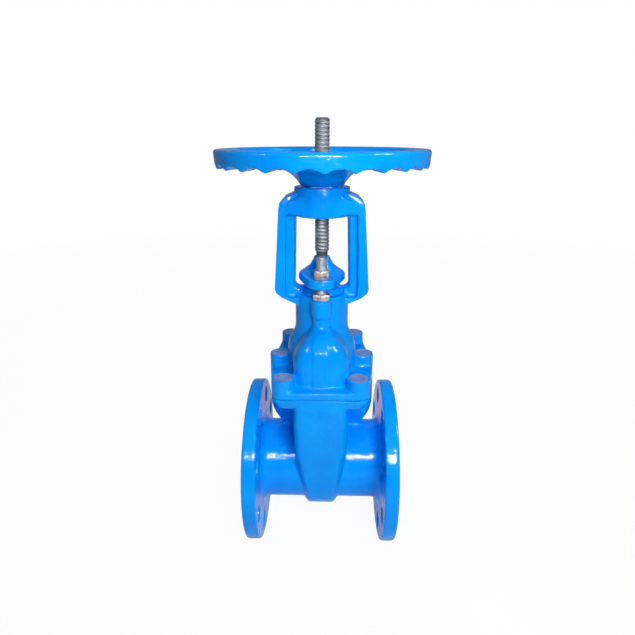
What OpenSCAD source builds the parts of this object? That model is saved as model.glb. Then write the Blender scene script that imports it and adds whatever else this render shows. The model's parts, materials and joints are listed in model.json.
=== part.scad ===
/* [Pipe and end flanges] */
// Distance between the two outer flange faces
face_to_face = 180; // [150:1:240]
// Diameter of the waterway
bore_d = 80; // [60:1:100]
// Wall of the pipe stubs
pipe_wall = 8.5; // [6:0.5:14]
// Diameter of each end flange
flange_d = 200; // [170:1:250]
// Thickness of each end flange without its raised face
flange_t = 16; // [12:1:26]
// Diameter of the raised sealing face
raised_d = 132; // [120:1:140]
// Height of the raised sealing face
raised_t = 1; // [1:0.5:4]
// Circle that the flange bolt holes lie on
bolt_circle_d = 160; // [150:1:200]
// Diameter of one flange bolt hole
bolt_hole_d = 19; // [14:1:24]
// Number of bolt holes in each flange
bolt_holes = 8; // [4:4:12]

/* [Gate and its housing] */
// Radius of the gate disc
gate_r = 48; // [36:1:60]
// Half thickness of the gate at its lowest point
gate_half_bottom = 10.1; // [8:0.1:16]
// How much the gate's half thickness grows for each millimetre of height
gate_taper = 0.09; // [0.05:0.01:0.14]
// Gap between the closed gate and its seats, along the pipe
seat_gap = 0.4; // [0.2:0.1:1]
// Gap between the gate's edge and the guides beside it
guide_gap = 1; // [0.5:0.1:2]
// Wall of the housing round the gate's edge
housing_wall = 7; // [5:0.5:12]
// Half width of the housing across the pipe, under the bonnet flange
housing_half_y = 82.8; // [74:0.2:86]
// Half width of the housing along the pipe, at its widest
housing_half_x = 31; // [29:0.5:40]
// Rounding of the housing's vertical edges
housing_round = 9; // [4:0.5:12]
// How far the gate rises from closed to open
lift = 88; // [60:1:110]

/* [Bonnet joint] */
// Height of the joint between body and bonnet above the pipe's axis
joint_z = 125; // [110:1:150]
// Thickness of the gasket in that joint
gasket_t = 0.5; // [0.5:0.1:3]
// Thickness of the body's side of the joint
body_flange_t = 12.5; // [10:0.5:16]
// Thickness of the bonnet's flange plate
bonnet_flange_t = 8.7; // [7:0.1:14]
// Distance of the corner screws from the stem, along the pipe
corner_screw_x = 41; // [37:0.5:46]
// Distance of the corner screws from the stem, across the pipe
corner_screw_y = 70; // [66:0.5:84]
// Distance of the middle screws from the stem
middle_screw_x = 49.2; // [47:0.1:60]
// Diameter of the boss round each screw
screw_boss_d = 25.6; // [24:0.2:32]
// Height of the screw bosses above the joint
screw_boss_h = 22; // [18:0.5:30]
// Thread diameter of the bonnet screws
screw_d = 12; // [8:1:14]
// Length of a bonnet screw's shank
screw_length = 15; // [13:0.5:18]
// Diameter of the recess that hides a screw's head
recess_d = 21; // [20:0.5:23]

/* [Bonnet and yoke] */
// Radius of the bonnet's neck
neck_r = 30.7; // [26:0.1:36]
// Height of the neck above the bonnet's foot
neck_h = 98.75; // [92:0.25:110]
// Height of the stuffing box rim above the neck
box_rim_h = 7; // [4:0.5:9]
// Bore of the stuffing box
box_bore_d = 34; // [28:0.5:38]
// Depth of the stuffing box
box_depth = 38; // [25:1:45]
// Half width of the yoke's window at its foot
window_half_bottom = 30.2; // [27:0.1:34]
// Half width of the yoke's window at its top
window_half_top = 28.3; // [24:0.1:34]
// Height of the window's lower edge above the neck
window_rise = 7; // [4:0.5:16]
// Height of the window
window_h = 83; // [70:1:100]
// Half width of the yoke at its foot
yoke_half_bottom = 53; // [48:0.1:64]
// Half width of the yoke at its shoulders
yoke_half_top = 47; // [42:0.1:56]
// Half depth of the yoke's outer bands
band_half_y = 17; // [12:0.5:22]
// Thickness of the yoke's outer bands
band_t = 8; // [5:0.5:12]
// Half depth of the web inside each band
web_half_y = 10; // [7:0.5:14]
// Radius of the hub on top of the yoke
hub_r = 30.3; // [27:0.1:36]
// Height of that hub
hub_h = 31.5; // [26:0.5:36]

/* [Gland] */
// Distance of each gland stud from the stem
stud_y = 34; // [32:0.5:40]
// Diameter of a gland stud
stud_d = 12; // [8:1:12]
// Length of a gland stud
stud_length = 60; // [50:1:70]
// Radius of the gland plate round the stem
gland_r = 26.5; // [22:0.5:28]
// Radius of the gland plate round each stud
gland_end_r = 16; // [12:0.5:17]
// Thickness of the gland plate
gland_t = 9; // [7:0.5:12]
// Gap between the stuffing box rim and the gland plate
gland_gap = 7.4; // [4:0.1:10]
// Width across the flats of the nut on the neck
nut_flats = 18; // [16:0.5:20]
// Width across the flats of the nut on the gland
gland_nut_flats = 16; // [15:0.5:20]

/* [Stem and wheel] */
// Diameter of the stem over its thread
stem_d = 16; // [14:0.5:20]
// Diameter of the smooth stem under its thread
shank_d = 12.8; // [10:0.1:16]
// Height of the thread's lower end above the neck when the valve is closed
thread_rise = 48; // [38:1:56]
// How far the stem stands above the wheel's rim when the valve is closed
stem_stand = 31; // [15:1:60]
// Radius of the handwheel's rim
wheel_r = 114.3; // [90:0.1:140]
// Height of the handwheel's rim
rim_h = 19.5; // [14:0.5:26]
// Width of the rim, along its radius
rim_w = 20; // [14:0.5:26]
// Number of finger scallops under the rim
scallops = 25; // [12:1:32]
// Depth of one scallop
scallop_depth = 5; // [2:0.5:6]
// Number of spokes
spokes = 4; // [3:1:6]
// Width of one spoke at the hub
spoke_w = 26; // [18:0.5:32]
// Thickness of one spoke
spoke_t = 8; // [6:0.5:10]
// Angle that the wheel is turned from the pipe's line
wheel_angle = -1.5; // [-45:0.5:45]
// Radius of the handwheel's hub at its foot
wheel_hub_r = 24; // [20:0.5:30]
// Gap between the yoke's hub and the handwheel
wheel_gap = 1; // [1:0.5:4]
// Width of the square on the yoke nut
square_w = 22; // [20:0.5:24]

/* [Hidden] */
$fn = 64;
running_gap = 0.3;
seating_gap = 0.1;
through = 1;
smooth = 32;

valve_x = face_to_face / 2;
bore_r = bore_d / 2;
pipe_r = bore_r + pipe_wall;
body_top_z = joint_z - gasket_t / 2;
bonnet_z = joint_z + gasket_t / 2;
plate_top_z = bonnet_z + bonnet_flange_t;
plate_foot_z = body_top_z - body_flange_t;

chamber_r = gate_r + guide_gap;
housing_r = chamber_r + housing_wall;

screw_spots = [for (side = [-1, 1], row = [-1, 0, 1])
    [side * (row == 0 ? middle_screw_x : corner_screw_x), row * corner_screw_y]];
screw_head_h = screw_d;
recess_floor_z = bonnet_z + 5.2;
boss_top_z = bonnet_z + screw_boss_h;
screw_hole_z = recess_floor_z - screw_length - 1.5;

neck_top_z = bonnet_z + neck_h;
window_bottom_z = neck_top_z + window_rise;
window_top_z = window_bottom_z + window_h;
thread_foot_z = neck_top_z + thread_rise;
cavity_top_z = bonnet_z + 40.75;
box_floor_z = neck_top_z + box_rim_h - box_depth;
box_top_z = neck_top_z + box_rim_h;
gland_z = box_top_z + gland_gap;
gland_top_z = gland_z + gland_t;
hub_drop = 3;
hub_top_z = window_top_z - hub_drop + hub_h;
stud_foot_z = neck_top_z - 12;

nut_h = 10;
thin_nut_h = 7;

counterbore_r = 21;
hub_bore_r = 13.4;
washer_t = 2;
collar_t = 7;
counterbore_z = window_top_z + 8;
collar_z = counterbore_z + washer_t;
ring_z = collar_z + collar_t + washer_t + running_gap;
wheel_z = hub_top_z + wheel_gap;
wheel_hub_top_z = wheel_z + 24;
rim_top_z = wheel_z + 37.5;
stem_top_z = rim_top_z + stem_stand;
wheel_nut_h = 7.5;
yoke_nut_top_z = wheel_hub_top_z + wheel_nut_h + 0.5;
square_corner_r = square_w / sqrt(2);
nut_thread_r = square_w / 2 - 0.2;
rim_inner_r = wheel_r - rim_w;

stem_bore_r = stem_d / 2 + running_gap;
shank_bore_r = shank_d / 2 + running_gap;
gate_neck_z = gate_r + 14;
gate_pin_d = 8;
gate_pin_z = gate_r + 5;

// Half width of the space for the gate at height z, along the pipe
function chamber_half(z) = gate_half_bottom + seat_gap + gate_taper * (z + gate_r);

// Outline on the pipe's axis, turned to run along it
module along_pipe(length) {
    rotate([0, 90, 0]) translate([0, 0, -length / 2]) children();
}

// Rounded block standing on height z
module rounded_slab(z, half_x, half_y, radius, height) {
    for (x = [-1, 1], y = [-1, 1])
        translate([x * (half_x - radius), y * (half_y - radius), z])
            cylinder(r = radius, h = height, $fn = smooth);
}

// One disc of the given radius round every bonnet screw
module screw_discs(z, radius, height) {
    for (spot = screw_spots)
        translate([spot[0], spot[1], z]) cylinder(r = radius, h = height, $fn = smooth);
}

module bonnet_plate(z, radius, height) {
    hull() {
        screw_discs(z, radius, height);
    }
}

// Wedge outline of the gate or of its space, seen across the pipe
module wedge(radius, extra, top_z) {
    low = gate_half_bottom + extra + gate_taper * (gate_r - radius);
    high = gate_half_bottom + extra + gate_taper * (top_z + gate_r);
    rotate([90, 0, 0])
        linear_extrude(2 * radius, center = true)
            polygon([[-low, -radius], [low, -radius], [high, top_z], [-high, top_z]]);
}

// Disc with a straight part above it, seen along the pipe
module disc_and_block(radius, block_top_z) {
    rotate([90, 0, 90])
        linear_extrude(200, center = true)
            union() {
                circle(r = radius, $fn = 96);
                translate([-radius, 0]) square([2 * radius, block_top_z]);
            }
}

module end_flange() {
    fillet = 10;
    difference() {
        rotate([0, 90, 0])
            rotate_extrude($fn = 128)
                polygon(concat(
                    [[0, 40 - valve_x], [pipe_r, 40 - valve_x]],
                    [for (a = [0 : 15 : 90])
                        [pipe_r + fillet - fillet * cos(a),
                         raised_t + flange_t + fillet - fillet * sin(a) - valve_x]],
                    [[flange_d / 2 - 1, raised_t + flange_t - valve_x],
                     [flange_d / 2, raised_t + flange_t - 1 - valve_x],
                     [flange_d / 2, raised_t + 1 - valve_x],
                     [flange_d / 2 - 1, raised_t - valve_x],
                     [raised_d / 2, raised_t - valve_x],
                     [raised_d / 2, -valve_x], [0, -valve_x]]));
        for (i = [0 : bolt_holes - 1])
            rotate([(i + 0.5) * 360 / bolt_holes, 0, 0])
                translate([-valve_x - through, 0, bolt_circle_d / 2])
                    rotate([0, 90, 0])
                        cylinder(d = bolt_hole_d, h = raised_t + flange_t + 2 * through);
    }
}

// Half width of the housing across the pipe at height z, on the line that meets its round foot
function housing_y(z) = housing_r + (housing_half_y - housing_r) * (z + 9) / (plate_foot_z + 9);

// Shell round the gate: a round foot, then three levels up to the bonnet flange
module gate_housing() {
    foot_half = chamber_half(0) + 4.5;
    belly_z = plate_foot_z - 26;
    waist_z = 50;
    hull() {
        along_pipe(2 * foot_half - housing_round)
            cylinder(r = housing_r, h = 2 * foot_half - housing_round, $fn = 72);
        along_pipe(2 * foot_half)
            cylinder(r = housing_r - housing_round / 2, h = 2 * foot_half, $fn = 72);
        rounded_slab(waist_z, housing_half_x - 0.5, housing_y(waist_z), housing_round, 1);
    }
    hull() {
        rounded_slab(waist_z, housing_half_x - 0.5, housing_y(waist_z), housing_round, 1);
        rounded_slab(belly_z, housing_half_x, housing_y(belly_z), housing_round, 1);
    }
    hull() {
        rounded_slab(belly_z, housing_half_x, housing_y(belly_z), housing_round, 1);
        rounded_slab(plate_foot_z, housing_half_x - 2, housing_half_y, housing_round, body_flange_t);
    }
}

// Bosses under the two middle screws, narrowing down to the pipe, and the rib between them
module side_bosses() {
    foot_z = pipe_r + 1.5;
    profile = [[1.5, foot_z], [3.4, foot_z + 8], [7.2, foot_z + 14], [10.3, foot_z + 21],
               [12.2, foot_z + 27.5], [13.1, foot_z + 34], [13.1, plate_foot_z + 1]];
    for (side = [-1, 1])
        translate([side * middle_screw_x, 0, 0])
            rotate_extrude($fn = 48)
                polygon(concat([[0, foot_z - 3], [1.5, foot_z - 3]], profile,
                               [[0, plate_foot_z + 1]]));
    rotate([90, 0, 90])
        linear_extrude(2 * middle_screw_x, center = true)
            polygon(concat(
                [[-1.5, foot_z - 3], [1.5, foot_z - 3]], profile,
                [for (i = [len(profile) - 1 : -1 : 0]) [-profile[i][0], profile[i][1]]]));
}

// Body's side of the joint: it narrows downwards round the corner screws
module body_plate() {
    low_r = 7.5;
    low_z = plate_foot_z;
    hull() {
        screw_discs(body_top_z - 3, screw_boss_d / 2, 3);
        for (x = [-1, 1]) {
            translate([x * middle_screw_x, 0, low_z])
                cylinder(d = screw_boss_d, h = 1, $fn = smooth);
            for (y = [-1, 1])
                translate([x * corner_screw_x, y * corner_screw_y, low_z])
                    cylinder(r = low_r, h = 0.2, $fn = smooth);
        }
    }
}

module body() {
    color("dodgerblue")
    translate([valve_x, 0, 0])
    difference() {
        union() {
            end_flange();
            mirror([1, 0, 0]) end_flange();
            along_pipe(face_to_face - 50) cylinder(r = pipe_r, h = face_to_face - 50);
            gate_housing();
            side_bosses();
            body_plate();
        }
        along_pipe(face_to_face + 2) cylinder(r = bore_r, h = face_to_face + 2, $fn = 96);
        intersection() {
            wedge(chamber_r, seat_gap, body_top_z + through);
            disc_and_block(chamber_r, body_top_z + through);
        }
        screw_discs(screw_hole_z, screw_d / 2 + seating_gap, screw_length + 10);
    }
}

module gasket() {
    color("black")
    translate([valve_x, 0, 0])
    difference() {
        bonnet_plate(body_top_z, screw_boss_d / 2 - 2.5, gasket_t);
        rounded_slab_cut(body_top_z - through, gasket_t + 2 * through, 1);
        screw_discs(body_top_z - through, screw_d / 2 + running_gap, gasket_t + 2 * through);
    }
}

// Straight opening for the gate through the joint
module rounded_slab_cut(z, height, margin) {
    half = chamber_half(body_top_z) + margin;
    translate([-half, -chamber_r - margin, z])
        cube([2 * half, 2 * (chamber_r + margin), height]);
}

// Outline of the two lobes at one level: a squarish oval pulled out along y
module lobe_level(z, half, reach, squareness) {
    power = 2 / squareness;
    translate([0, 0, z])
        linear_extrude(0.1)
            polygon([for (a = [0 : 7.5 : 359])
                [half * sign(cos(a)) * pow(abs(cos(a)), power),
                 sign(sin(a)) * (reach - half + half * pow(abs(sin(a)), power))]]);
}

// Bell over the raised gate: straight lobes to the front and back, domed on top
module bell() {
    out = corner_screw_y;
    // height above the foot, half width, reach along y, squareness
    levels = [[0, 32, out + 0.5, 3.6], [33, 32, out + 0.3, 3.6], [38, 31, out, 3.4],
              [42, 29, out - 0.2, 3.2], [46, 27.2, out - 0.6, 3], [50, 24.8, out - 1.8, 2.8],
              [55.5, 20.4, out - 5, 2.6], [61, 14.8, out - 11, 2.4], [65, 10.5, out - 19, 2.2],
              [66, 9.5, out - 26, 2]];
    hull()
        for (level = levels)
            lobe_level(bonnet_z + level[0], level[1], level[2], level[3]);
    rotate_extrude()
        polygon([[0, bonnet_z], [41.3, bonnet_z], [41.2, bonnet_z + 12], [40.5, bonnet_z + 30],
                 [38.3, bonnet_z + 41.5], [35.3, bonnet_z + 47.5], [32.4, bonnet_z + 52.5],
                 [neck_r + 0.4, bonnet_z + 58], [neck_r, bonnet_z + 66],
                 [neck_r, neck_top_z], [0, neck_top_z]]);
}

// Post of a gland stud, down to the top of the dome
module stud_post(side) {
    step_z = neck_top_z - 21;
    translate([0, side * stud_y, step_z + 2.5]) cylinder(r = 11.3, h = 18.5);
    translate([0, side * stud_y, step_z]) cylinder(r1 = 9, r2 = 11.3, h = 2.5);
    translate([0, side * (stud_y - 1), step_z - 18]) cylinder(r = 9.7, h = 19);
}

// Room above the body for the raised gate
module bonnet_cavity() {
    intersection() {
        rotate([90, 0, 0])
            linear_extrude(200, center = true)
                polygon([[-chamber_half(bonnet_z), bonnet_z - through],
                         [chamber_half(bonnet_z), bonnet_z - through],
                         [chamber_half(bonnet_z), plate_top_z],
                         [20, cavity_top_z], [-20, cavity_top_z],
                         [-chamber_half(bonnet_z), plate_top_z]]);
        rotate([90, 0, 90])
            linear_extrude(200, center = true)
                polygon([[-chamber_r, bonnet_z - through], [chamber_r, bonnet_z - through],
                         [chamber_r, plate_top_z + 12],
                         [30, cavity_top_z], [-30, cavity_top_z],
                         [-chamber_r, plate_top_z + 12]]);
    }
}

// Outline of one side of the yoke, seen from the front, with its window edge moved outwards
module yoke_side(step) {
    foot_z = neck_top_z - 11;
    polygon([
        [neck_r - 6, foot_z],
        [neck_r - 1, foot_z],
        [yoke_half_bottom - 7.8, foot_z + 7],
        [yoke_half_bottom - 0.9, foot_z + 13],
        [yoke_half_bottom, foot_z + 17],
        [yoke_half_top, window_top_z + 5],
        [yoke_half_top - 1.3, window_top_z + 12],
        [yoke_half_top - 6.9, window_top_z + 18],
        [hub_r - 2, window_top_z + 23],
        [18, window_top_z + 23],
        [18, window_top_z + step],
        [window_half_top - 4 + step, window_top_z + step],
        [window_half_top - 1 + step, window_top_z - 1.2 + step],
        [window_half_top + step, window_top_z - 4],
        [window_half_bottom + step, window_bottom_z + 4],
        [window_half_bottom - 1.2 + step, window_bottom_z + 1.2 - step],
        [window_half_bottom - 4 + step, window_bottom_z - step],
        [neck_r - 6, window_bottom_z - step]]);
}

module yoke_frame() {
    web_step = yoke_half_top - band_t - window_half_top;
    for (side = [0, 1])
        mirror([side, 0, 0])
            rotate([90, 0, 0]) {
                linear_extrude(2 * web_half_y - 6, center = true) yoke_side(0);
                linear_extrude(2 * web_half_y, center = true) yoke_side(1.6);
                linear_extrude(2 * band_half_y, center = true) yoke_side(web_step);
            }
    hull() {
        translate([0, 0, window_top_z]) cylinder(r = hub_r - 1, h = 21, $fn = 48);
        for (x = [-1, 1], y = [-1, 1])
            translate([x * (yoke_half_top - 6), y * (band_half_y - 4), window_top_z])
                cylinder(r = 4, h = 9, $fn = 24);
    }
    translate([0, 0, hub_top_z - hub_h]) cylinder(r = hub_r, h = hub_h);
}

module bonnet() {
    color("dodgerblue")
    translate([valve_x, 0, 0])
    difference() {
        union() {
            bonnet_plate(bonnet_z, screw_boss_d / 2, bonnet_flange_t);
            screw_discs(bonnet_z, screw_boss_d / 2, screw_boss_h);
            bell();
            translate([0, 0, box_floor_z]) cylinder(r = 22.5, h = box_depth);
            stud_post(-1);
            stud_post(1);
            yoke_frame();
        }
        bonnet_cavity();
        screw_discs(recess_floor_z, recess_d / 2, boss_top_z - recess_floor_z + 1);
        screw_discs(bonnet_z - through, screw_d / 2 + running_gap, 10);
        translate([0, 0, cavity_top_z - through]) cylinder(r = shank_bore_r, h = 100);
        translate([0, 0, box_floor_z]) cylinder(d = box_bore_d, h = box_depth + through);
        for (y = [-1, 1])
            translate([0, y * stud_y, stud_foot_z])
                cylinder(r = stud_d / 2 + seating_gap, h = 12 + through);
        translate([0, 0, hub_top_z - hub_h - through]) cylinder(r = hub_bore_r, h = hub_h);
        translate([0, 0, counterbore_z]) cylinder(r = counterbore_r + seating_gap, h = hub_h);
    }
}

module bonnet_screw(i) {
    color("silver")
    translate([valve_x + screw_spots[i][0], screw_spots[i][1], recess_floor_z]) {
        translate([0, 0, -screw_length]) cylinder(d = screw_d, h = screw_length + 1);
        difference() {
            cylinder(d = 1.5 * screw_d, h = screw_head_h);
            translate([0, 0, screw_head_h / 2])
                cylinder(r = screw_d * 0.48, h = screw_head_h, $fn = 6);
        }
    }
}

module wax_plug(i) {
    wax_z = recess_floor_z + screw_head_h + running_gap;
    color("slategray")
    translate([valve_x + screw_spots[i][0], screw_spots[i][1], wax_z])
        cylinder(d = recess_d - 2 * seating_gap, h = boss_top_z - wax_z - 0.4);
}

module packing() {
    color("dimgray")
    translate([valve_x, 0, box_floor_z])
    difference() {
        cylinder(d = box_bore_d - 2 * seating_gap, h = box_depth - 8);
        translate([0, 0, -through]) cylinder(r = shank_bore_r, h = box_depth);
    }
}

// Lozenge of the gland plate
module gland_outline(z, inset, height) {
    translate([0, 0, z]) cylinder(r = gland_r - inset, h = height, $fn = 48);
    for (y = [-1, 1])
        translate([0, y * stud_y, z]) cylinder(r = gland_end_r - inset, h = height, $fn = 48);
}

module gland() {
    color("dodgerblue")
    translate([valve_x, 0, 0])
    difference() {
        union() {
            hull() {
                gland_outline(gland_z, 1, 1);
                gland_outline(gland_z + 1.5, 0, gland_t - 4);
                gland_outline(gland_top_z - 1, 1.4, 1);
            }
            rotate_extrude()
                polygon([[0, gland_top_z - 1], [25, gland_top_z - 0.4], [20.5, gland_top_z + 1.8],
                         [16, gland_top_z + 3.8], [12.8, gland_top_z + 6.4], [11, gland_top_z + 9.2],
                         [10.2, gland_top_z + 9.8], [0, gland_top_z + 9.8]]);
            translate([0, 0, box_top_z - 8])
                cylinder(d = box_bore_d - 2 * running_gap, h = gland_z - box_top_z + 10);
        }
        translate([0, 0, box_floor_z]) cylinder(r = shank_bore_r, h = 100);
        for (y = [-1, 1])
            translate([0, y * stud_y, gland_z - through])
                cylinder(d = stud_d + 1.5, h = gland_t + 2 * through);
        for (y = [-1, 1])
            translate([0, y * stud_y, gland_top_z]) cylinder(r = gland_nut_flats * 0.6, h = 10);
    }
}

module gland_stud(side) {
    color("silver")
    translate([valve_x, side * stud_y, stud_foot_z + seating_gap]) {
        cylinder(d = stud_d, h = stud_length - 1.5);
        translate([0, 0, stud_length - 1.5])
            cylinder(r1 = stud_d / 2, r2 = stud_d / 2 - 1.5, h = 1.5);
    }
}

// Nut with one corner towards the front
module hex_nut(flats, height) {
    difference() {
        rotate([0, 0, 30]) cylinder(r = flats / 2 / cos(30), h = height, $fn = 6);
        translate([0, 0, -through])
            cylinder(r = stud_d / 2 + seating_gap, h = height + 2 * through);
    }
}

module gland_nut(side) {
    color("rosybrown")
    translate([valve_x, side * stud_y, gland_top_z]) hex_nut(gland_nut_flats, nut_h);
}

module stud_nut(side) {
    color("rosybrown")
    translate([valve_x, side * stud_y, neck_top_z]) hex_nut(nut_flats, thin_nut_h);
}

module washer(z, inner_r) {
    color("gray")
    translate([valve_x, 0, z])
    difference() {
        cylinder(r = counterbore_r - 1, h = washer_t - seating_gap);
        translate([0, 0, -through]) cylinder(r = inner_r, h = washer_t + 2 * through);
    }
}

module lower_washer() {
    washer(counterbore_z, hub_bore_r);
}

module upper_washer() {
    washer(collar_z + collar_t + seating_gap, square_corner_r + running_gap);
}

module retaining_ring() {
    color("dimgray")
    translate([valve_x, 0, ring_z])
    difference() {
        cylinder(r = counterbore_r, h = hub_top_z - ring_z - 0.5);
        translate([0, 0, -through]) cylinder(r = square_corner_r + running_gap, h = 40);
    }
}

module yoke_nut() {
    color("goldenrod")
    translate([valve_x, 0, 0])
    difference() {
        union() {
            translate([0, 0, window_top_z + 1])
                cylinder(r = hub_bore_r - running_gap, h = collar_z - window_top_z);
            translate([0, 0, collar_z]) cylinder(r = counterbore_r - 1.5, h = collar_t);
            rotate([0, 0, wheel_angle])
                translate([-square_w / 2, -square_w / 2, collar_z])
                    cube([square_w, square_w, wheel_hub_top_z - collar_z - 1]);
            translate([0, 0, wheel_hub_top_z - 2])
                cylinder(r = nut_thread_r, h = yoke_nut_top_z - wheel_hub_top_z + 2);
        }
        translate([0, 0, window_top_z]) cylinder(r = stem_bore_r, h = 200);
    }
}

// One spoke with rounded edges, narrower and higher at the rim
module spoke(inner_r, outer_r, inner_z, outer_z) {
    round_r = spoke_t / 2;
    hull()
        for (side = [-1, 1]) {
            translate([inner_r, side * (spoke_w / 2 - round_r), inner_z])
                sphere(r = round_r, $fn = 24);
            translate([outer_r, side * (spoke_w / 3 - round_r), outer_z])
                sphere(r = round_r, $fn = 24);
        }
}

// Rim with finger scallops cut up into its foot
module wheel_rim() {
    width = 2 * PI * wheel_r / scallops;
    cutter_r = (width * width / 4 + scallop_depth * scallop_depth) / (2 * scallop_depth);
    foot_z = rim_top_z - rim_h;
    difference() {
        rotate_extrude($fn = 128)
            polygon([
                [rim_inner_r + 3, foot_z], [wheel_r - 2.5, foot_z], [wheel_r - 1.2, foot_z + 1.5],
                [wheel_r, rim_top_z - 2.5], [wheel_r - 0.8, rim_top_z - 0.8],
                [wheel_r - 2.5, rim_top_z], [rim_inner_r + 3, rim_top_z],
                [rim_inner_r, rim_top_z - 3], [rim_inner_r, foot_z + 4]]);
        for (i = [0 : scallops - 1])
            rotate([0, 0, (i + 0.5) * 360 / scallops])
                translate([rim_inner_r - 6, 0, foot_z + scallop_depth - cutter_r])
                    rotate([0, 90, 0]) cylinder(r = cutter_r, h = rim_w + 12);
    }
}

module handwheel() {
    flare_w = 28;
    flare_h = 18;
    flare = [[0, 0], [0.02, 0.1], [0.13, 0.33], [0.26, 0.55], [0.4, 0.72], [0.58, 0.86],
             [0.78, 0.95], [1, 1]];
    square = square_w + 2 * seating_gap;
    color("dodgerblue")
    translate([valve_x, 0, 0])
    rotate([0, 0, wheel_angle])
    difference() {
        union() {
            rotate_extrude($fn = 96)
                polygon(concat(
                    [[0, wheel_z - wheel_gap + seating_gap],
                     [counterbore_r - 0.5, wheel_z - wheel_gap + seating_gap],
                     [counterbore_r - 0.5, wheel_z]],
                    [for (p = flare) [wheel_hub_r + flare_w * p[0], wheel_z + flare_h * p[1]]],
                    [[wheel_hub_r + flare_w + 1, wheel_z + flare_h + 2],
                     [wheel_hub_r + flare_w - 2, wheel_hub_top_z - 1],
                     [24, wheel_hub_top_z], [0, wheel_hub_top_z]]));
            for (i = [0 : spokes - 1])
                rotate([0, 0, i * 360 / spokes])
                    spoke(wheel_hub_r + flare_w - 8, rim_inner_r + 5,
                          wheel_hub_top_z - spoke_t / 2 - 0.5, rim_top_z - rim_h + spoke_t);
            wheel_rim();
        }
        translate([-square / 2, -square / 2, wheel_z - through]) cube([square, square, 60]);
    }
}

module wheel_nut() {
    color("silver")
    translate([valve_x, 0, wheel_hub_top_z])
    difference() {
        cylinder(r = 18.5, h = wheel_nut_h, $fn = 6);
        translate([0, 0, -through]) cylinder(r = nut_thread_r + seating_gap, h = 20);
    }
}

module stem() {
    foot_z = gate_r - 10;
    color("silver")
    translate([valve_x, 0, 0])
    difference() {
        union() {
            translate([0, 0, foot_z]) cylinder(d = shank_d, h = thread_foot_z - foot_z + 1);
            translate([0, 0, thread_foot_z - 1.6])
                cylinder(r1 = shank_d / 2, r2 = stem_d / 2, h = 1.6);
            translate([0, 0, thread_foot_z]) cylinder(d = stem_d, h = stem_top_z - thread_foot_z - 2);
            translate([0, 0, stem_top_z - 2])
                cylinder(r1 = stem_d / 2, r2 = stem_d / 2 - 2, h = 2);
        }
        translate([0, 0, gate_pin_z]) along_pipe(60)
            cylinder(r = gate_pin_d / 2 + seating_gap, h = 60);
    }
}

module gate() {
    color("#202326")
    translate([valve_x, 0, 0])
    difference() {
        union() {
            intersection() {
                wedge(gate_r, 0, gate_r);
                disc_and_block(gate_r, gate_r / 2);
            }
            translate([0, 0, gate_r - 12]) cylinder(r = 16, h = gate_neck_z - gate_r + 12);
        }
        translate([0, 0, gate_r - 11]) cylinder(r = shank_d / 2 + seating_gap, h = 100);
        translate([0, 0, gate_pin_z]) along_pipe(60)
            cylinder(r = gate_pin_d / 2 + seating_gap, h = 60);
    }
}

module gate_pin() {
    color("silver")
    translate([valve_x, 0, gate_pin_z])
        along_pipe(31) cylinder(d = gate_pin_d, h = 31);
}

body();
gasket();
bonnet();
bonnet_screw(0);  // bonnet_screw_1
bonnet_screw(1);  // bonnet_screw_2
bonnet_screw(2);  // bonnet_screw_3
bonnet_screw(3);  // bonnet_screw_4
bonnet_screw(4);  // bonnet_screw_5
bonnet_screw(5);  // bonnet_screw_6
wax_plug(0);  // wax_plug_1
wax_plug(1);  // wax_plug_2
wax_plug(2);  // wax_plug_3
wax_plug(3);  // wax_plug_4
wax_plug(4);  // wax_plug_5
wax_plug(5);  // wax_plug_6
packing();
gland();
gland_stud(-1);  // gland_stud_front
gland_stud(1);  // gland_stud_back
gland_nut(-1);  // gland_nut_front
gland_nut(1);  // gland_nut_back
stud_nut(-1);  // stud_nut_front
stud_nut(1);  // stud_nut_back
lower_washer();
upper_washer();
retaining_ring();
yoke_nut();
handwheel();
wheel_nut();
stem();
gate();
gate_pin();
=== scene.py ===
import json
import math

import bmesh
import bpy
import numpy as np
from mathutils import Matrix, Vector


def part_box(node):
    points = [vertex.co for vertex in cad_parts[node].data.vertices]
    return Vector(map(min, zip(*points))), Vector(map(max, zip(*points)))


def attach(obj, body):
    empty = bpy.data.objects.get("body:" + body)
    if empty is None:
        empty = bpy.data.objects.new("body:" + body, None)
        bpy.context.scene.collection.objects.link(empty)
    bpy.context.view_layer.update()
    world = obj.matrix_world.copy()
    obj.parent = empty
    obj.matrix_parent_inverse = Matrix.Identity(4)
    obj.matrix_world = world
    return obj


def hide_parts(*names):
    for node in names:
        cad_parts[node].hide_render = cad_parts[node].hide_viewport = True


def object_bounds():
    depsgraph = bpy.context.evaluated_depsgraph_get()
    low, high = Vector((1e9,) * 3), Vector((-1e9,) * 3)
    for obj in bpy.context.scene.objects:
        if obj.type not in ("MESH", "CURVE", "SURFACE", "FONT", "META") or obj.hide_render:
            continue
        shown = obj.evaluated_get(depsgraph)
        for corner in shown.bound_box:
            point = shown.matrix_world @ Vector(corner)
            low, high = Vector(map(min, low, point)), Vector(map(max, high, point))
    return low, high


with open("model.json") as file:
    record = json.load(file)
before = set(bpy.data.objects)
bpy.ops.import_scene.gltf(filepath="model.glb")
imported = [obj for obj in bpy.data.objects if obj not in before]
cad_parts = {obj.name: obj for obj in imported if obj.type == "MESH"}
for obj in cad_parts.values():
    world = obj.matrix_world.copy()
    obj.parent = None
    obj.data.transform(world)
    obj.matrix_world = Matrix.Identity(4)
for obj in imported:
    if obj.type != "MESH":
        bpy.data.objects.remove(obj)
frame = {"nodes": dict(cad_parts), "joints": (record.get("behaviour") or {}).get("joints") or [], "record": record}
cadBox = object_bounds()
slotOf = {part["node"]: part["material_slot"] for part in frame["record"]["subparts"]}
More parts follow.
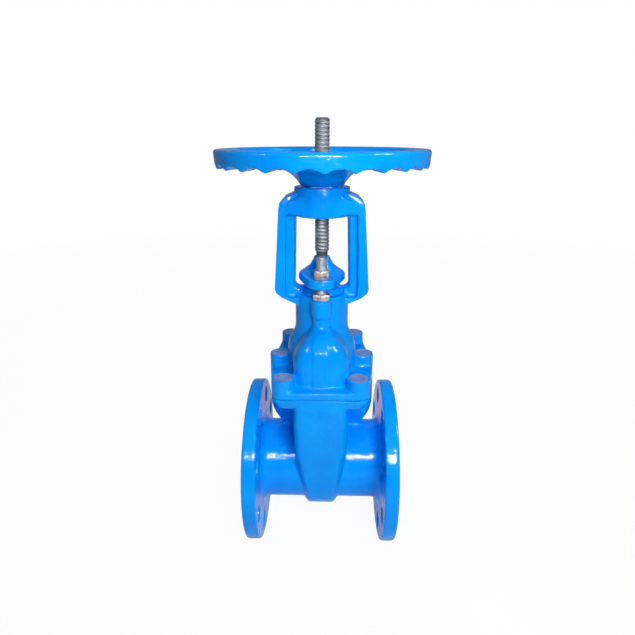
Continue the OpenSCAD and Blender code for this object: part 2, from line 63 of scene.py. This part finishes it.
# x and y of the stem's axis, which the wheel turns about
stemAxis = next(tuple(joint["pos_m"][:2]) for joint in frame["joints"] if joint["name"] == "wheel_turn")
print("frame loaded")

camera = {
    "place": (0.0986, -0.583, 0.3961),
    "tilt": 19.36,  # degrees down
    "turn": 1.34,  # degrees to the left
    "lens": 29.68,  # focal length in millimetres
    "sensor": 36,  # width in millimetres
}
lens = bpy.data.cameras.new("viewLens")
lens.lens = camera["lens"]
lens.sensor_width = camera["sensor"]
viewer = bpy.data.objects.new("viewer", lens)
viewer.location = camera["place"]
viewer.rotation_euler = (math.radians(90 - camera["tilt"]), 0, math.radians(camera["turn"]))
bpy.context.collection.objects.link(viewer)
bpy.context.scene.camera = viewer
print("camera set")


class Wire:
    # a node's output that can be used in sums
    def __init__(self, graph, socket):
        self.graph = graph
        self.socket = socket

    def maths(self, operation, first, second):
        return self.graph.node("ShaderNodeMath", {"operation": operation}, {0: first, 1: second})

    def __add__(self, other):
        return self.maths("ADD", self, other)

    def __mul__(self, other):
        return self.maths("MULTIPLY", self, other)

    def __sub__(self, other):
        return self.maths("SUBTRACT", self, other)

    def __rsub__(self, other):
        return self.maths("SUBTRACT", other, self)

    __radd__ = __add__
    __rmul__ = __mul__


class Graph:
    # the nodes of one material or of the world
    def __init__(self, owner):
        owner.use_nodes = True
        self.owner = owner
        self.tree = owner.node_tree

    def node(self, kind, settings={}, inputs={}, output=0):
        # an input is a value or a wire
        made = self.tree.nodes.new(kind)
        for name, value in settings.items():
            setattr(made, name, value)
        for name, value in inputs.items():
            self.join(made.inputs[name], value)
        return Wire(self, made.outputs[output])

    def join(self, socket, value):
        if isinstance(value, Wire):
            self.tree.links.new(value.socket, socket)
        else:
            socket.default_value = value

    def finish(self, inputs, last="Principled BSDF"):
        # fills the sockets of a node that is there from the start
        for name, value in inputs.items():
            self.join(self.tree.nodes[last].inputs[name], value)
        return self.owner

    def place(self, scale=(1, 1, 1), offset=(0, 0, 0)):
        spot = self.node("ShaderNodeTexCoord", output="Object")
        return self.node("ShaderNodeMapping", {}, {"Vector": spot, "Scale": scale, "Location": offset})

    def length(self, vector):
        return self.node("ShaderNodeVectorMath", {"operation": "LENGTH"}, {0: vector}, "Value")

    def noise(self, size, detail=3, roughness=0.5, stretch=(1, 1, 1), offset=(0, 0, 0)):
        # size is that of one blotch in metres
        spot = self.place(tuple(s / size for s in stretch), offset)
        values = {"Vector": spot, "Scale": 1.0, "Detail": detail, "Roughness": roughness}
        return self.node("ShaderNodeTexNoise", {}, values, "Fac")

    def spread(self, value, low, high, newLow=0.0, newHigh=1.0):
        # noise lies mostly between 0.3 and 0.7, and a narrower span than that makes sharper blotches
        values = {"Value": value, "From Min": low, "From Max": high, "To Min": newLow, "To Max": newHigh}
        return self.node("ShaderNodeMapRange", {"clamp": True}, values)

    def blend(self, amount, first, second):
        # mixes two colours, each a wire or a tuple of red, green and blue
        first, second = ((*c, 1) if isinstance(c, tuple) else c for c in (first, second))
        return self.node("ShaderNodeMix", {"data_type": "RGBA"}, {"Factor": amount, 6: first, 7: second}, 2)

    def bump(self, height, depth, under=None):
        values = {"Height": height, "Distance": depth, "Strength": 1.0}
        if under is not None:
            values["Normal"] = under
        return self.node("ShaderNodeBump", {}, values)


epoxy = {
    "colour": (0.0, 0.31, 0.95),
    "deep": (0.0, 0.27, 0.9),
    "pale": (0.0, 0.35, 0.98),
    "clouds": 0.045,  # size of the deep and pale areas
    "roughness": (0.08, 0.14),
    "gloss": 0.12,  # strength of its mirror-like part, 0.5 being plain plastic
    "peel": (0.0016, 0.00007),  # size and height of the orange peel
    "waves": (0.007, 0.0006),  # size and height of the casting's waves
}


def blueEpoxy():
    # thick glossy paint over cast iron
    graph = Graph(bpy.data.materials.new("blueEpoxy"))
    cloud = graph.noise(epoxy["clouds"], 2)
    fine = graph.noise(epoxy["peel"][0], 2)
    casting = graph.noise(epoxy["waves"][0], 2, 0.45)
    colour = graph.blend(graph.spread(cloud, 0.35, 0.68), epoxy["deep"], epoxy["pale"])
    colour = graph.blend(graph.spread(fine, 0.3, 0.7, 0.15, 0.55), colour, epoxy["colour"])
    roughness = graph.spread(cloud * 0.6 + fine * 0.4, 0.35, 0.65, *epoxy["roughness"])
    normal = graph.bump(fine, epoxy["peel"][1], graph.bump(casting, epoxy["waves"][1]))
    gloss = epoxy["gloss"]
    return graph.finish(
        {"Base Color": colour, "Roughness": roughness, "Specular IOR Level": gloss, "Normal": normal}
    )


rubber = {
    "colour": (0.022, 0.022, 0.024),
    "worn": (0.045, 0.044, 0.043),
    "bloom": 0.012,  # size of the worn areas
    "roughness": (0.55, 0.8),
    "grain": (0.0006, 0.00005),  # size and height
}


def blackRubber():
    graph = Graph(bpy.data.materials.new("blackRubber"))
    bloom = graph.noise(rubber["bloom"], 4)
    colour = graph.blend(graph.spread(bloom, 0.4, 0.7), rubber["colour"], rubber["worn"])
    roughness = graph.spread(bloom, 0.3, 0.7, *rubber["roughness"])
    normal = graph.bump(graph.noise(rubber["grain"][0], 2), rubber["grain"][1])
    return graph.finish({"Base Color": colour, "Roughness": roughness, "Normal": normal})


steel = {
    "bright": (0.21, 0.22, 0.25),
    "dull": (0.065, 0.069, 0.08),
    "patches": 0.007,  # size of the bright and dull areas
    "metal": 0.55,  # the rest is oil and dust
    "clean": 1.6,  # how many times brighter the steel is without grease
    "roughness": (0.44, 0.62),
    "marks": (0.012, 45, 0.00003),  # length of a tool mark, how many times narrower it is, and height
    "grease": (0.05, 0.047, 0.045),
    "root": 0.0068,  # distance from the stem's axis at which the grease is thickest
    "crest": 0.0079,  # and at which it ends
    "film": 0.82,  # how much of the steel it hides at the root
    "lessMetal": 0.3,
    "moreRough": 0.15,
}


def turnedSteel(name, greased):
    # tool marks run round the stem; grease darkens the thread below its crest
    graph = Graph(bpy.data.materials.new(name))
    size, narrow, depth = steel["marks"]
    marks = graph.noise(size, 3, 0.6, stretch=(1, 1, narrow))
    patches = graph.noise(steel["patches"], 3)
    tone = 1.0 if greased else steel["clean"]
    dull, bright = (tuple(tone * part for part in steel[shade]) for shade in ("dull", "bright"))
    colour = graph.blend(graph.spread(marks * 0.5 + patches * 0.5, 0.38, 0.62), dull, bright)
    roughness = graph.spread(marks, 0.3, 0.7, *steel["roughness"])
    metal = steel["metal"]
    if greased:
        fromAxis = graph.length(graph.place((1, 1, 0), (-stemAxis[0], -stemAxis[1], 0)))
        film = graph.spread(fromAxis, steel["root"], steel["crest"], steel["film"], 0.0)
        film = film * graph.spread(patches, 0.25, 0.6, 0.6, 1.0)
        colour = graph.blend(film, colour, steel["grease"])
        metal = metal - film * steel["lessMetal"]
        roughness = roughness + film * steel["moreRough"]
    normal = graph.bump(marks, depth)
    return graph.finish({"Base Color": colour, "Roughness": roughness, "Metallic": metal, "Normal": normal})


zinc = {
    "bright": (0.66, 0.6, 0.58),
    "dull": (0.42, 0.36, 0.35),
    "cells": 0.004,  # size of the bright and dull areas
    "stain": (0.3, 0.24, 0.2),
    "stains": 0.011,  # size of the stained areas
    "metal": 0.9,
    "roughness": (0.25, 0.48),
    "grain": (0.0012, 0.00005),  # size and height
}


def zincPlate():
    graph = Graph(bpy.data.materials.new("zincPlate"))
    cells = graph.noise(zinc["cells"], 4, 0.6)
    stains = graph.noise(zinc["stains"], 3, 0.6, offset=(3, 1, 2))
    colour = graph.blend(graph.spread(cells, 0.35, 0.65), zinc["dull"], zinc["bright"])
    colour = graph.blend(graph.spread(stains, 0.55, 0.75, 0.0, 0.55), colour, zinc["stain"])
    roughness = graph.spread(cells, 0.3, 0.7, *zinc["roughness"])
    metal = zinc["metal"]
    normal = graph.bump(graph.noise(zinc["grain"][0], 2), zinc["grain"][1])
    return graph.finish({"Base Color": colour, "Roughness": roughness, "Metallic": metal, "Normal": normal})


wax = {
    "colour": (0.13, 0.23, 0.5),
    "pale": (0.24, 0.32, 0.56),
    "dark": (0.085, 0.17, 0.42),
    "mottle": 0.006,  # size of the pale and dark areas
    "roughness": (0.4, 0.62),
    "pits": (0.0016, 0.0002),  # size and depth
}


def sealingWax():
    graph = Graph(bpy.data.materials.new("sealingWax"))
    mottle = graph.noise(wax["mottle"], 4, 0.6)
    colour = graph.blend(graph.spread(mottle, 0.3, 0.5), wax["dark"], wax["colour"])
    colour = graph.blend(graph.spread(mottle, 0.5, 0.72), colour, wax["pale"])
    roughness = graph.spread(mottle, 0.3, 0.7, *wax["roughness"])
    normal = graph.bump(graph.noise(wax["pits"][0], 3), wax["pits"][1])
    return graph.finish({"Base Color": colour, "Roughness": roughness, "Normal": normal})


nylon = {
    "colour": (0.72, 0.7, 0.64),
    "yellowed": (0.6, 0.55, 0.44),
    "tint": 0.01,  # size of the yellowed areas
    "roughness": (0.35, 0.5),
    "grain": (0.0008, 0.00003),  # size and height
}


def bearingNylon():
    graph = Graph(bpy.data.materials.new("bearingNylon"))
    tint = graph.noise(nylon["tint"], 3)
    colour = graph.blend(graph.spread(tint, 0.35, 0.7), nylon["colour"], nylon["yellowed"])
    roughness = graph.spread(tint, 0.3, 0.7, *nylon["roughness"])
    normal = graph.bump(graph.noise(nylon["grain"][0], 2), nylon["grain"][1])
    return graph.finish({"Base Color": colour, "Roughness": roughness, "Normal": normal})


bronze = {
    "bright": (0.72, 0.5, 0.22),
    "dull": (0.36, 0.23, 0.1),
    "tarnish": 0.008,  # size of the dull areas
    "metal": 1.0,
    "roughness": (0.22, 0.4),
    "marks": (0.01, 30, 0.00003),  # length of a tool mark, how many times narrower it is, and height
}


def machinedBronze():
    graph = Graph(bpy.data.materials.new("machinedBronze"))
    size, narrow, depth = bronze["marks"]
    marks = graph.noise(size, 3, 0.6, stretch=(1, 1, narrow))
    tarnish = graph.noise(bronze["tarnish"], 4)
    shine = graph.spread(tarnish * 0.6 + marks * 0.4, 0.38, 0.62)
    colour = graph.blend(shine, bronze["dull"], bronze["bright"])
    roughness = graph.spread(marks, 0.3, 0.7, *bronze["roughness"])
    metal = bronze["metal"]
    normal = graph.bump(marks, depth)
    return graph.finish({"Base Color": colour, "Roughness": roughness, "Metallic": metal, "Normal": normal})


finishes = {
    "blue_epoxy": blueEpoxy(),
    "black_rubber": blackRubber(),
    "stainless_steel": turnedSteel("stainlessSteel", False),
    "zinc_steel": zincPlate(),
    "sealing_wax": sealingWax(),
    "bearing_plastic": bearingNylon(),
    "bronze": machinedBronze(),
}
greasedStem = turnedSteel("greasedStem", True)
print("materials made")

# every CAD node gets the finish of its slot
for name, node in frame["nodes"].items():
    node.data.materials.clear()
    node.data.materials.append(finishes[slotOf[name]])


def settle(name, mesh, body, slot, nodes, material=None):
    # puts a mesh in the scene as a piece, which stands for the nodes if any are given
    piece = bpy.data.objects.new(name, mesh)
    bpy.context.collection.objects.link(piece)
    mesh.materials.clear()
    mesh.materials.append(material or finishes[slot])
    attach(piece, body)
    if nodes:
        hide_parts(*nodes)
    return piece


def weld(mesh, reach):
    # joins the points that lie within reach of each other
    welder = bmesh.new()
    welder.from_mesh(mesh)
    bmesh.ops.remove_doubles(welder, verts=welder.verts, dist=reach)
    welder.to_mesh(mesh)
    welder.free()


rib = {
    "half": 0.0088,  # half the width
    "edge": 0.0018,  # half the width of a sloping side
    "height": 0.0015,
    "low": 0.133,  # the level where it starts
    "rise": 0.003,  # and how much higher it has its full height
    "near": 0.044,  # how far in front of the stem's axis it starts
    "deep": 0.008,  # and how much further out it has its full height
}


def raiseRibs(mesh):
    # a flat rib down the front and back of the bell: points there move out by a product of smooth steps
    # over the distance from the middle, the level and the distance in front of the axis or behind it
    points = np.empty(len(mesh.vertices) * 3)
    mesh.vertices.foreach_get("co", points)
    points = points.reshape(-1, 3)
    across, depth = points[:, 0] - stemAxis[0], points[:, 1] - stemAxis[1]
    side = (rib["half"] + rib["edge"] - np.abs(across)) / (2 * rib["edge"])
    climb = (points[:, 2] - rib["low"]) / rib["rise"]
    outward = (np.abs(depth) - rib["near"]) / rib["deep"]
    share = [step * step * (3 - 2 * step) for step in np.clip((side, climb, outward), 0, 1)]
    points[:, 1] += np.sign(depth) * rib["height"] * share[0] * share[1] * share[2]
    mesh.vertices.foreach_set("co", points.ravel())


# voxel is the step of the rebuilt surface, passes are rounds of smoothing, most is a limit on triangles
castings = [
    {"node": "body", "body": "valve", "voxel": 0.0015, "passes": 5, "most": 185000},
    {"node": "bonnet", "body": "valve", "voxel": 0.0012, "passes": 5, "most": 185000},
    {"node": "gland", "body": "valve", "voxel": 0.0007, "passes": 6, "most": 60000},
    {"node": "handwheel", "body": "wheel", "voxel": 0.0012, "passes": 3, "most": 170000},
]


def castSkin(settings):
    # the CAD solid with its edges and corners rounded as a sand casting's are
    node = settings["node"]
    rough = frame["nodes"][node].data.copy()
    weld(rough, 1e-6)
    worker = bpy.data.objects.new("worker", rough)
    bpy.context.collection.objects.link(worker)
    remesh = worker.modifiers.new("remesh", "REMESH")
    remesh.mode = "VOXEL"
    remesh.voxel_size = settings["voxel"]
    soften = worker.modifiers.new("soften", "SMOOTH")
    soften.factor = 0.5
    soften.iterations = settings["passes"]
    graph = bpy.context.evaluated_depsgraph_get()
    count = 2 * len(worker.evaluated_get(graph).to_mesh().polygons)  # each face is two triangles
    if count > settings["most"]:
        thin = worker.modifiers.new("thin", "DECIMATE")
        thin.ratio = settings["most"] / count
    graph = bpy.context.evaluated_depsgraph_get()
    mesh = bpy.data.meshes.new_from_object(worker.evaluated_get(graph))
    bpy.data.objects.remove(worker)
    if node == "bonnet":
        raiseRibs(mesh)
    mesh.shade_smooth()
    mesh.name = node + "Casting"
    settle(node + "Casting", mesh, settings["body"], slotOf[node], [node])
    print("casting", node, count, "to", len(mesh.polygons))


for settings in castings:
    castSkin(settings)


def middle(node):
    # x and y of the middle of a node's box
    low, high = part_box(node)
    return (low[0] + high[0]) / 2, (low[1] + high[1]) / 2


def onceRound(sides):
    # a row of angles
    return np.linspace(0, 2 * np.pi, sides, endpoint=False)[None, :]


def turnedGrid(radius, height, angle, centre):
    # radius and height over the grid give points round an upright axis through centre
    radius, height, angle = np.broadcast_arrays(radius, height, angle)
    return np.stack([centre[0] + radius * np.cos(angle), centre[1] + radius * np.sin(angle), height], -1)


def gridMesh(name, points, closedRows=False):
    # quads over a grid of points (rows, columns, 3) whose columns run once round, and whose last row joins
    # the first if the rows are closed; they turn over if the sum of their corners' triple products, which
    # is six times the volume, is below zero
    rows, columns = points.shape[:2]
    index = np.arange(rows * columns).reshape(rows, columns)
    if closedRows:
        index = np.vstack([index, index[:1]])
    low, high = index[:-1], index[1:]
    faces = np.stack([low, np.roll(low, -1, 1), np.roll(high, -1, 1), high], -1).reshape(-1, 4)
    flat = points.reshape(-1, 3)
    corner = flat[faces]
    volume = np.einsum("ij,ij->i", corner[:, 0], np.cross(corner[:, 1], corner[:, 2])).sum()
    volume += np.einsum("ij,ij->i", corner[:, 0], np.cross(corner[:, 2], corner[:, 3])).sum()
    if volume < 0:
        faces = faces[:, ::-1]
    mesh = bpy.data.meshes.new(name)
    mesh.from_pydata(flat.tolist(), [], faces.tolist())
    weld(mesh, 1e-7)
    mesh.shade_smooth()
    return mesh


collar = {"outer": 0.0204, "inner": 0.0165, "height": 0.0016, "edge": 0.0002, "sharp": 30, "sides": 96}


def collarSurface():
    # the flat ring at the foot of the wheel's hub, which the casting's rounding blurs: a rectangle with
    # one corner cut off, turned round the stem
    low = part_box("handwheel")[0][2]
    outer, inner, high, edge = collar["outer"], collar["inner"], low + collar["height"], collar["edge"]
    radius = np.array([inner, outer - edge, outer, outer, inner])[:, None]
    height = np.array([low, low, low + edge, high, high])[:, None]
    mesh = gridMesh("hubCollar", turnedGrid(radius, height, onceRound(collar["sides"]), stemAxis), True)
    mesh.set_sharp_from_angle(angle=math.radians(collar["sharp"]))
    return mesh


settle("hubCollar", collarSurface(), "wheel", "blue_epoxy", [])

neck = {
    "foot": 0.019,  # radius on the gland's plate
    "top": 0.0088,
    "bore": 0.0069,
    "height": 0.018,
    "flare": 1.15,  # power of the cone's outline, which would be straight at 1
    "edge": 0.0008,  # radius of the lip
    "sunk": 0.002,  # depth in the plate
    "coneRows": 22,
    "lipRows": 4,
    "sides": 96,
}


def neckSurface():
    # a cone on the gland, over the one in the casting: its radius falls from foot to top with a power of
    # what is left of its height, then a rounded lip leads to a straight bore
    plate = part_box("gland_nut_front")[0][2]
    share = np.linspace(0, 1, neck["coneRows"])
    flare = neck["top"] + (neck["foot"] - neck["top"]) * (1 - share) ** neck["flare"]
    climb = plate + share * (neck["height"] - neck["edge"])
    turn = np.linspace(0, np.pi / 2, neck["lipRows"] + 1)[1:]
    lip = neck["top"] - neck["edge"] * (1 - np.cos(turn))
    lipHeight = plate + neck["height"] - neck["edge"] * (1 - np.sin(turn))
    low, high = plate - neck["sunk"], plate + neck["height"]
    radius = np.concatenate([[neck["foot"]], flare, lip, [neck["bore"], neck["bore"]]])[:, None]
    height = np.concatenate([[low], climb, lipHeight, [high - neck["edge"], low]])[:, None]
    return gridMesh("glandNeck", turnedGrid(radius, height, onceRound(neck["sides"]), stemAxis), True)


settle("glandNeck", neckSurface(), "valve", "blue_epoxy", [])

stem = {
    "shank": 0.0064,
    "foot": 0.272,  # the level where the thread starts
    "start": 0.001,  # the height in which the shank widens to it
    "crest": 0.008,
    "root": 0.0074,
    "pitch": 0.004,
    "bevel": 0.002,
    "shankRows": 12,
    "turnRows": 18,
    "sides": 64,
}


def stemSurface():
    # the radius is that of the shank below the foot, and above it swings between root and crest
    # with the cosine of height / pitch + angle / turn, which makes a worn left-hand thread
    low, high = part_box("stem")[0][2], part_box("stem")[1][2]
    shank = np.linspace(low, stem["foot"] - stem["start"], stem["shankRows"])
    thread = np.arange(stem["foot"], high, stem["pitch"] / stem["turnRows"])
    height = np.concatenate([[low, low], shank, thread, [high, high]])[:, None]
    angle = onceRound(stem["sides"])
    wave = 0.5 - 0.5 * np.cos(2 * np.pi * height / stem["pitch"] + angle)
    radius = stem["root"] + (stem["crest"] - stem["root"]) * wave
    radius = np.where(height < stem["foot"], stem["shank"], radius)
    radius = np.minimum(radius, stem["crest"] - stem["bevel"] + np.maximum(high - height, 0))
    radius[[0, -1]] = 0
    return gridMesh("threadedStem", turnedGrid(radius, height, angle, stemAxis))


stemPiece = settle("threadedStem", stemSurface(), "stem", "stainless_steel", ["stem"], greasedStem)
print("stem cut", len(stemPiece.data.polygons))

stud = {
    "crest": 0.006,
    "root": 0.0051,
    "pitch": 0.00175,
    "ridge": 0.33,  # half the width of a ridge at the root, in pitches
    "flank": 0.14,  # width of its sloping side, in pitches
    "bevel": 0.0014,
    "turnRows": 9,
    "sides": 40,
}


def studSurface(node):
    # a right-hand thread over the whole stud, with a bevelled tip: the radius falls from crest to root
    # along the flank as the point gets further from the middle of a ridge
    low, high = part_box(node)[0][2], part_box(node)[1][2]
    thread = np.arange(low, high, stud["pitch"] / stud["turnRows"])
    height = np.concatenate([[low], thread, [high, high]])[:, None]
    angle = onceRound(stud["sides"])
    fromRidge = np.abs((height / stud["pitch"] - angle / (2 * np.pi)) % 1 - 0.5)
    climb = np.clip((stud["ridge"] - fromRidge) / stud["flank"], 0, 1)
    radius = stud["root"] + (stud["crest"] - stud["root"]) * climb
    radius = np.minimum(radius, stud["crest"] - stud["bevel"] + np.maximum(high - height, 0))
    radius[[0, -1]] = 0
    return gridMesh(node + "Thread", turnedGrid(radius, height, angle, middle(node)))


for node in ("gland_stud_front", "gland_stud_back"):
    settle(node + "Thread", studSurface(node), "valve", "stainless_steel", [node])

nut = {
    "bore": 0.0059,
    "lip": 0.0007,  # cut off the bore's edge
    "disc": 0.93,  # radius of the flat ends, as a share of half the width across the flats
    "slope": 0.577,  # of the cone that takes the corners off, for 30 degrees
    "turn": 30,  # degrees
    "sharp": 28,  # the fewest degrees between faces whose edge shows
    "bevel": 0.0003,
    "bevelled": 35,  # and between faces whose edge is bevelled
    "sides": 96,
}


def nutSurface(node):
    # half the width across the flats over the cosine of the angle from the middle of a flat makes the
    # hexagon, and a cone takes its corners off at both ends
    (x0, y0, low), (x1, y1, high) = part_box(node)
    flat = max(x1 - x0, y1 - y0) / 2 * math.cos(math.radians(30))
    angle = onceRound(nut["sides"])
    sector = (angle + np.pi / 6) % (np.pi / 3) - np.pi / 6
    side = flat / np.cos(np.abs(sector) - np.pi / 6)
    disc = flat * nut["disc"]
    drop = np.maximum(side - disc, 0) * nut["slope"]
    bore, lip = nut["bore"], nut["lip"]
    radii = (bore, bore + lip, disc, side, side, disc, bore + lip, bore)
    heights = (low + lip, low, low, low + drop, high - drop, high, high, high - lip)
    radius, height = (np.vstack([row + 0 * angle for row in rows]) for rows in (radii, heights))
    points = turnedGrid(radius, height, angle + math.radians(nut["turn"]), middle(node))
    mesh = gridMesh(node + "Hexagon", points, True)
    mesh.set_sharp_from_angle(angle=math.radians(nut["sharp"]))
    return mesh


for node in ("gland_nut_front", "gland_nut_back", "stud_nut_front", "stud_nut_back"):
    piece = settle(node + "Hexagon", nutSurface(node), "valve", "zinc_steel", [node])
    soften = piece.modifiers.new("soften", "BEVEL")
    soften.width = nut["bevel"]
    soften.segments = 2
    soften.angle_limit = math.radians(nut["bevelled"])
print("studs and nuts made")

plug = {
    "count": 6,
    "dish": 0.0006,  # climb to the wall at the very edge
    "rim": 0.0004,  # climb from the middle to there
    "lumps": 0.00022,  # height of the waves
    "ripples": ((4.1, 0), (0, 3.3), (7.3, -4), (6, 11)),  # radians over one radius of the plug, in x and y
    "shift": 6.28,  # the most that a ripple starts late, in radians
    "rings": 26,
    "sides": 72,
}


def plugSurface(node, seed):
    # a dish that climbs to the wall with high powers of the share of its radius, and low waves on it: one
    # ripple times another and parts of two more, which fade towards the edge
    (x0, y0, low), (x1, y1, high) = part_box(node)
    share = np.concatenate([np.linspace(0, 1, plug["rings"]), [1.0, 0.0]])[:, None]
    angle = onceRound(plug["sides"])
    x, y = share * np.cos(angle), share * np.sin(angle)
    shifts = np.random.default_rng(seed).uniform(0, plug["shift"], len(plug["ripples"]))
    ripples = [np.sin(u * x + v * y + shift) for (u, v), shift in zip(plug["ripples"], shifts)]
    waves = (ripples[0] * ripples[1] + 0.5 * ripples[2] + 0.4 * ripples[3]) * (1 - share**6)
    height = high - plug["dish"] - plug["rim"] * (1 - share**8)
    height = height + plug["lumps"] * waves + plug["dish"] * share**14
    height[-2:] = low
    return gridMesh(node + "Fill", turnedGrid(share * (x1 - x0) / 2, height, angle, middle(node)))


for number in range(1, plug["count"] + 1):
    node = f"wax_plug_{number}"
    settle(node + "Fill", plugSurface(node, number), "valve", "sealing_wax", [node])
print("wax poured")

room = {
    "reach": 6,  # half the floor's width
    "white": 0.95,  # the floor's own colour to the camera
    "grey": 0.8,  # and to the valve
    "glow": 0.93,  # how much of the floor is plain white to the camera
    "near": 0.5,  # how far from the origin that starts to climb
    "far": 2.5,  # and how far out all of it is
    "sky": 0.12,  # strength of the light from all round
    "mirror": 0.14,  # how much of the white shows in reflections
}


def whiteShare(graph):
    # 1 for the camera and a share of it for reflections and glass
    rays = ("Is Camera Ray", "Is Glossy Ray", "Is Transmission Ray")
    seen, glossy, through = (graph.node("ShaderNodeLightPath", output=ray) for ray in rays)
    return seen + (glossy + through) * room["mirror"]


def paleFloor():
    # the floor shows as white to the camera and keeps the valve's shadow
    graph = Graph(bpy.data.materials.new("paleFloor"))
    seen = whiteShare(graph)
    shade = graph.spread(seen, 0.0, 1.0, room["grey"], room["white"])
    plain = graph.node("ShaderNodeBsdfDiffuse", {}, {"Color": shade})
    glow = graph.spread(graph.length(graph.place()), room["near"], room["far"], room["glow"], 1.0)
    white = graph.node("ShaderNodeEmission", {}, {"Color": (1, 1, 1, 1), "Strength": 1.0})
    mixed = graph.node("ShaderNodeMixShader", {}, {0: seen * glow, 1: plain, 2: white})
    return graph.finish({"Surface": mixed}, "Material Output")


reach = room["reach"]
ground = cadBox[0][2]
corners = [(x * reach, y * reach, ground) for x, y in ((-1, -1), (1, -1), (1, 1), (-1, 1))]
floorMesh = bpy.data.meshes.new("floor")
floorMesh.from_pydata(corners, [], [(0, 1, 2, 3)])
floorMesh.materials.append(paleFloor())
floor = bpy.data.objects.new("floor", floorMesh)
bpy.context.collection.objects.link(floor)

sky = Graph(bpy.data.worlds.new("studio"))
strength = sky.spread(whiteShare(sky), 0.0, 1.0, room["sky"], 1.0)
bpy.context.scene.world = sky.finish({"Color": (1, 1, 1, 1), "Strength": strength}, "Background")


def lamp(name, place, size, power, target, fills=True, shines=True):
    # an area lamp that faces its target; it lights matt surfaces if it fills and glossy ones if it shines
    light = bpy.data.lights.new(name, "AREA")
    light.shape = "RECTANGLE"
    light.size, light.size_y = size
    light.energy = power
    made = bpy.data.objects.new(name, light)
    made.location = place
    toward = np.array(place) - np.array(target)
    flat = math.hypot(toward[0], toward[1])
    made.rotation_euler = (math.atan2(flat, toward[2]), 0, math.atan2(toward[0], -toward[1]))
    made.visible_camera = False
    made.visible_diffuse = fills
    made.visible_glossy = shines
    bpy.context.collection.objects.link(made)


bonnetMiddle = (*stemAxis, 0.15)
lamp("frontBox", (0.28, -0.69, 0.51), (0.3, 0.25), 5.2, bonnetMiddle, shines=False)
lamp("topBox", (0.2, -0.3, 1.5), (0.8, 0.8), 5, bonnetMiddle, shines=False)
lamp("backBox", (0.04, 0.95, 0.7), (0.5, 0.4), 5, bonnetMiddle, shines=False)
bellFront = (stemAxis[0], stemAxis[1] - 0.06, 0.177)
lamp("leftSpot", (-0.59, -0.37, 0.7), (0.12, 0.12), 3.2, bellFront, fills=False)
lamp("rightSpot", (0.77, -0.29, 0.74), (0.24, 0.24), 9, bellFront, fills=False)
# a row of tubes in front of the valve
tubes = {
    "y": -0.61,
    "level": 0.4,
    "each": (  # x, width, length and power
        (-0.03, 0.045, 0.045, 2.6),
        (0.055, 0.008, 0.07, 0.6),
        (0.085, 0.008, 0.07, 0.9),
        (0.115, 0.01, 0.09, 1.6),
        (0.185, 0.04, 0.045, 2.2),
        (0.262, 0.042, 0.12, 5.5),
    ),
}
for number, (x, wide, tall, power) in enumerate(tubes["each"]):
    lamp(f"tube{number}", (x, tubes["y"], tubes["level"]), (wide, tall), power, bonnetMiddle, fills=False)
bpy.context.scene.view_settings.view_transform = "Standard"
print("studio lit")
